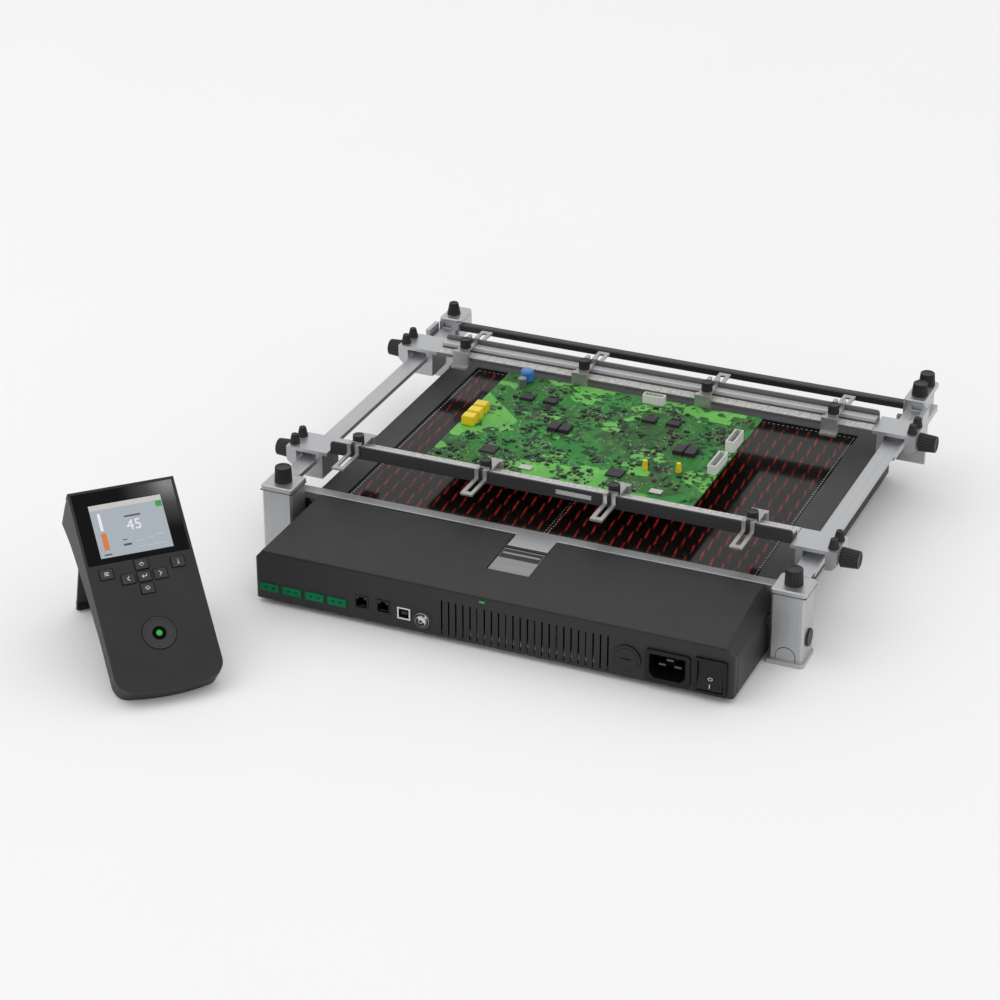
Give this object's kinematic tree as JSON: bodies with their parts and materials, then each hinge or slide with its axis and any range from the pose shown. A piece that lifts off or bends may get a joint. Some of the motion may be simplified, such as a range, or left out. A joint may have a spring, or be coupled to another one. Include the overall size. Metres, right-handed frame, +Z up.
{
  "type": "pcb preheater",
  "caption": "Infrared bottom preheater for circuit boards with a glass-topped heating deck, a sliding board holder with clips, and a separate hand console on its kickstand.",
  "frame": {"origin": "middle of the footprint of the whole set, on the bench", "axes": "+X to the right along the front panel, +Y from the front panel to the back, +Z up"},
  "size_m": [0.6008, 0.6664, 0.1266],
  "materials": {
    "panel_black": "satin powder coat",
    "cover_grey": "fine textured powder coat",
    "bezel_grey": "satin powder coat",
    "glass_black": "dark glass ceramic",
    "silver_anodised": "satin anodised",
    "dark_anodised": "satin dark anodised",
    "steel_bright": "brushed",
    "screw_steel": "dark zinc",
    "knob_black": "ribbed moulding",
    "black_plastic": "smooth moulding",
    "tc_green": "moulded",
    "light_green": "clear",
    "rubber_black": "matt",
    "board_green": "solder mask",
    "component_black": "moulded",
    "reflector": "polished",
    "insulation": "fibre board",
    "tube_quartz": "quartz over a heating coil",
    "console_charcoal": "fine textured",
    "console_gloss": "gloss",
    "key_grey": "smooth"
  },
  "bodies": {
    "root": {"lower_case": "panel_black", "front_panel": "panel_black", "front_cover": "cover_grey", "catch_plate": "cover_grey", "deck_bezel": "bezel_grey", "ceramic_glass": "glass_black", "reflector_pan": "reflector", "insulation_board": "insulation", "tube_holders": "steel_bright", "heater_tubes": "tube_quartz", "control_board": "board_green", "heat_sink": "silver_anodised", "thermocouple_sockets": "tc_green", "data_sockets": "steel_bright", "status_light": "light_green", "fuse_holder": "black_plastic", "mains_inlet": "black_plastic", "switch_frame": "black_plastic", "rubber_feet": "rubber_black", "case_screws": "screw_steel", "corner_posts": "silver_anodised", "post_knobs": "knob_black", "side_rails": "silver_anodised", "front_strip": "silver_anodised", "strip_blocks": "black_plastic", "rear_crossbar": "dark_anodised"},
    "front_rail_body": {"front_rail": "silver_anodised", "front_carriages": "silver_anodised", "front_thumb_screws": "knob_black"},
    "rear_rail_body": {"rear_rail": "silver_anodised", "rear_carriages": "silver_anodised", "rear_thumb_screws": "knob_black"},
    "front_left_knob_body": {"front_left_knob": "knob_black"},
    "front_right_knob_body": {"front_right_knob": "knob_black"},
    "front_clip_1_body": {"front_clip_1": "steel_bright"},
    "front_clip_2_body": {"front_clip_2": "steel_bright"},
    "front_clip_3_body": {"front_clip_3": "steel_bright"},
    "front_clip_4_body": {"front_clip_4": "steel_bright"},
    "rear_left_knob_body": {"rear_left_knob": "knob_black"},
    "rear_right_knob_body": {"rear_right_knob": "knob_black"},
    "rear_clip_1_body": {"rear_clip_1": "steel_bright"},
    "rear_clip_2_body": {"rear_clip_2": "steel_bright"},
    "rear_clip_3_body": {"rear_clip_3": "steel_bright"},
    "rear_clip_4_body": {"rear_clip_4": "steel_bright"},
    "power_rocker_body": {"power_rocker": "black_plastic"},
    "fuse_cap_body": {"fuse_cap": "black_plastic"},
    "board_body": {"circuit_board": "board_green", "board_components": "component_black"},
    "console_body": {"console_front": "console_charcoal", "console_back": "console_charcoal", "console_screen": "console_gloss"},
    "kickstand_body": {"kickstand": "console_charcoal"},
    "menu_key_body": {"menu_key": "key_grey"},
    "up_key_body": {"up_key": "key_grey"},
    "left_key_body": {"left_key": "key_grey"},
    "enter_key_body": {"enter_key": "key_grey"},
    "right_key_body": {"right_key": "key_grey"},
    "down_key_body": {"down_key": "key_grey"},
    "info_key_body": {"info_key": "key_grey"},
    "start_button_body": {"start_button": "key_grey"}
  },
  "joints": [
    {"name": "front_rail_slide", "type": "slide", "parent": "root", "child": "front_rail_body", "axis": [0, 1, 0], "range_m": [-0.02, 0]},
    {"name": "rear_rail_slide", "type": "slide", "parent": "root", "child": "rear_rail_body", "axis": [0, 1, 0], "range_m": [0, 0.015]},
    {"name": "front_left_knob_turn", "type": "hinge", "parent": "front_rail_body", "child": "front_left_knob_body", "pos_m": [-0.2109, 0.00694, 0.06485], "axis": [1, 0, 0], "range_deg": [0, 360]},
    {"name": "front_right_knob_turn", "type": "hinge", "parent": "front_rail_body", "child": "front_right_knob_body", "pos_m": [0.2891, 0.00694, 0.06485], "axis": [1, 0, 0], "range_deg": [0, 360]},
    {"name": "front_clip_1_slide", "type": "slide", "parent": "front_rail_body", "child": "front_clip_1_body", "axis": [1, 0, 0], "range_m": [-0.006, 0.06]},
    {"name": "front_clip_2_slide", "type": "slide", "parent": "front_rail_body", "child": "front_clip_2_body", "axis": [1, 0, 0], "range_m": [-0.04, 0.04]},
    {"name": "front_clip_3_slide", "type": "slide", "parent": "front_rail_body", "child": "front_clip_3_body", "axis": [1, 0, 0], "range_m": [-0.04, 0.04]},
    {"name": "front_clip_4_slide", "type": "slide", "parent": "front_rail_body", "child": "front_clip_4_body", "axis": [1, 0, 0], "range_m": [-0.06, 0.006]},
    {"name": "rear_left_knob_turn", "type": "hinge", "parent": "rear_rail_body", "child": "rear_left_knob_body", "pos_m": [-0.2109, 0.23394, 0.06485], "axis": [1, 0, 0], "range_deg": [0, 360]},
    {"name": "rear_right_knob_turn", "type": "hinge", "parent": "rear_rail_body", "child": "rear_right_knob_body", "pos_m": [0.2891, 0.23394, 0.06485], "axis": [1, 0, 0], "range_deg": [0, 360]},
    {"name": "rear_clip_1_slide", "type": "slide", "parent": "rear_rail_body", "child": "rear_clip_1_body", "axis": [1, 0, 0], "range_m": [-0.006, 0.06]},
    {"name": "rear_clip_2_slide", "type": "slide", "parent": "rear_rail_body", "child": "rear_clip_2_body", "axis": [1, 0, 0], "range_m": [-0.04, 0.04]},
    {"name": "rear_clip_3_slide", "type": "slide", "parent": "rear_rail_body", "child": "rear_clip_3_body", "axis": [1, 0, 0], "range_m": [-0.04, 0.04]},
    {"name": "rear_clip_4_slide", "type": "slide", "parent": "rear_rail_body", "child": "rear_clip_4_body", "axis": [1, 0, 0], "range_m": [-0.06, 0.006]},
    {"name": "power_rocker_tilt", "type": "hinge", "parent": "root", "child": "power_rocker_body", "pos_m": [0.2283, -0.13856, 0.0218], "axis": [1, 0, 0], "range_deg": [0, 16]},
    {"name": "fuse_cap_turn", "type": "hinge", "parent": "root", "child": "fuse_cap_body", "pos_m": [0.1586, -0.14256, 0.0222], "axis": [0, 1, 0], "range_deg": [0, 60]},
    {"name": "board_lift", "type": "slide", "parent": "root", "child": "board_body", "axis": [0, 0, 1], "range_m": [0, 0.06]},
    {"name": "console_lift", "type": "slide", "parent": "root", "child": "console_body", "axis": [0, 0, 1], "range_m": [0, 0.15]},
    {"name": "kickstand_fold", "type": "hinge", "parent": "console_body", "child": "kickstand_body", "pos_m": [-0.24629, -0.21577, 0.09125], "axis": [-0.7071, -0.7071, 0], "range_deg": [0, 70]},
    {"name": "menu_key_press", "type": "slide", "parent": "console_body", "child": "menu_key_body", "axis": [-0.4592, 0.4592, -0.7604], "range_m": [0, 0.0008], "stiffness_N_per_m": 200},
    {"name": "up_key_press", "type": "slide", "parent": "console_body", "child": "up_key_body", "axis": [-0.4592, 0.4592, -0.7604], "range_m": [0, 0.0008], "stiffness_N_per_m": 200},
    {"name": "left_key_press", "type": "slide", "parent": "console_body", "child": "left_key_body", "axis": [-0.4592, 0.4592, -0.7604], "range_m": [0, 0.0008], "stiffness_N_per_m": 200},
    {"name": "enter_key_press", "type": "slide", "parent": "console_body", "child": "enter_key_body", "axis": [-0.4592, 0.4592, -0.7604], "range_m": [0, 0.0008], "stiffness_N_per_m": 200},
    {"name": "right_key_press", "type": "slide", "parent": "console_body", "child": "right_key_body", "axis": [-0.4592, 0.4592, -0.7604], "range_m": [0, 0.0008], "stiffness_N_per_m": 200},
    {"name": "down_key_press", "type": "slide", "parent": "console_body", "child": "down_key_body", "axis": [-0.4592, 0.4592, -0.7604], "range_m": [0, 0.0008], "stiffness_N_per_m": 200},
    {"name": "info_key_press", "type": "slide", "parent": "console_body", "child": "info_key_body", "axis": [-0.4592, 0.4592, -0.7604], "range_m": [0, 0.0008], "stiffness_N_per_m": 200},
    {"name": "start_button_press", "type": "slide", "parent": "console_body", "child": "start_button_body", "axis": [-0.4592, 0.4592, -0.7604], "range_m": [0, 0.0015], "stiffness_N_per_m": 200}
  ]
}
